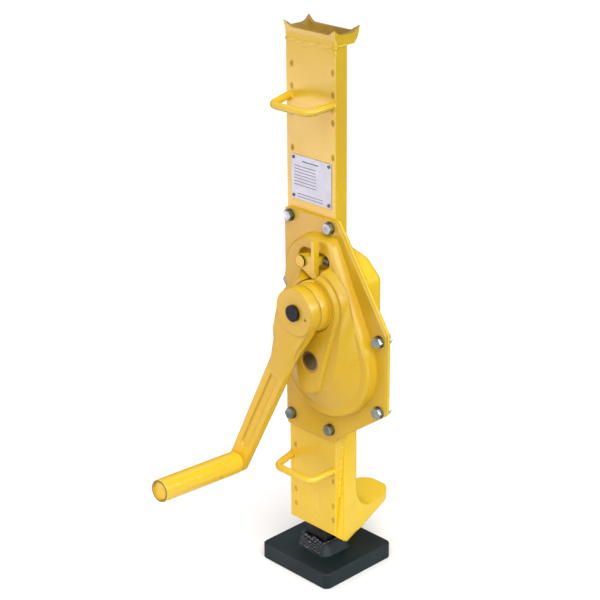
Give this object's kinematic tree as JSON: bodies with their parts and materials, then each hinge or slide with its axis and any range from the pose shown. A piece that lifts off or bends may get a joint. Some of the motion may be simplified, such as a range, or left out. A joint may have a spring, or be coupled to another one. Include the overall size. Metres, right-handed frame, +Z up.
{
  "type": "track jack",
  "caption": "Steel rack jack for lifting track: a welded housing with head, claw, geared crank and carry handles climbs a toothed rack that stands on a square foot.",
  "frame": {"origin": "centre of the foot's underside, on the floor", "axes": "+Z up along the rack, -Y towards the crank side, +X to the gear side"},
  "size_m": [0.2125, 0.3348, 0.73],
  "materials": {
    "yellow_paint": "semi-gloss spray paint over steel, with weld marks",
    "black_foot": "satin black paint over a forged foot",
    "dark_rack_steel": "greased dark steel",
    "plain_plate": "satin bare plate",
    "dark_rivet": "dark steel",
    "zinc_plate": "bright zinc plating",
    "machined_steel": "machined steel with oil stain",
    "bronze": "bearing bronze",
    "brake_lining": "pressed friction lining",
    "black_cap": "black plastic cap",
    "spring_steel": "spring wire"
  },
  "bodies": {
    "stand": {"foot_plate": "black_foot", "rack": "dark_rack_steel"},
    "housing": {"column_front": "yellow_paint", "column_rear": "yellow_paint", "head": "yellow_paint", "claw": "yellow_paint", "upper_handle": "yellow_paint", "lower_handle": "yellow_paint", "nameplate": "plain_plate", "nameplate_rivets": "dark_rivet", "gear_cover": "yellow_paint", "gear_case": "yellow_paint", "cover_bolts": "zinc_plate", "cover_washers": "zinc_plate", "flange_nuts": "zinc_plate", "main_front_bush": "bronze", "main_rear_bush": "bronze", "crank_front_bush": "bronze", "crank_rear_bush": "bronze", "pawl_pin": "machined_steel", "pawl_spring": "spring_steel"},
    "main_gear": {"main_shaft": "machined_steel", "drive_gear": "machined_steel", "gear_key": "machined_steel"},
    "crank": {"crank_shaft": "machined_steel", "ratchet_wheel": "machined_steel", "friction_discs": "brake_lining", "brake_flange": "yellow_paint", "crank_arm": "yellow_paint", "end_cap": "black_cap", "set_screw": "dark_rivet", "grip_axle": "yellow_paint", "grip_washer": "zinc_plate"},
    "grip": {"grip_sleeve": "yellow_paint"},
    "pawl": {"pawl": "yellow_paint"}
  },
  "joints": [
    {"name": "housing_lift", "type": "slide", "parent": "stand", "child": "housing", "axis": [0, 0, 1], "range_m": [0, 0.35]},
    {"name": "main_gear_turn", "type": "hinge", "parent": "housing", "child": "main_gear", "pos_m": [0.0345, -0.03, 0.318], "axis": [0, 1, 0], "continuous": true},
    {"name": "crank_turn", "type": "hinge", "parent": "housing", "child": "crank", "pos_m": [0.039, -0.06, 0.39437], "axis": [0, 1, 0], "continuous": true},
    {"name": "grip_spin", "type": "hinge", "parent": "crank", "child": "grip", "pos_m": [-0.06505, -0.16919, 0.15957], "axis": [-0.0321, 0.9968, -0.0725], "continuous": true},
    {"name": "pawl_lift", "type": "hinge", "parent": "housing", "child": "pawl", "pos_m": [0.012, -0.0515, 0.44387], "axis": [0, -1, 0], "range_deg": [0, 12], "stiffness_Nm_per_rad": 0.4, "springref_deg": -17.19}
  ],
  "couplings": [
    {"joint": "main_gear_turn", "follows": "housing_lift", "rad_per_m": -50},
    {"joint": "crank_turn", "follows": "housing_lift", "rad_per_m": 233.33}
  ]
}
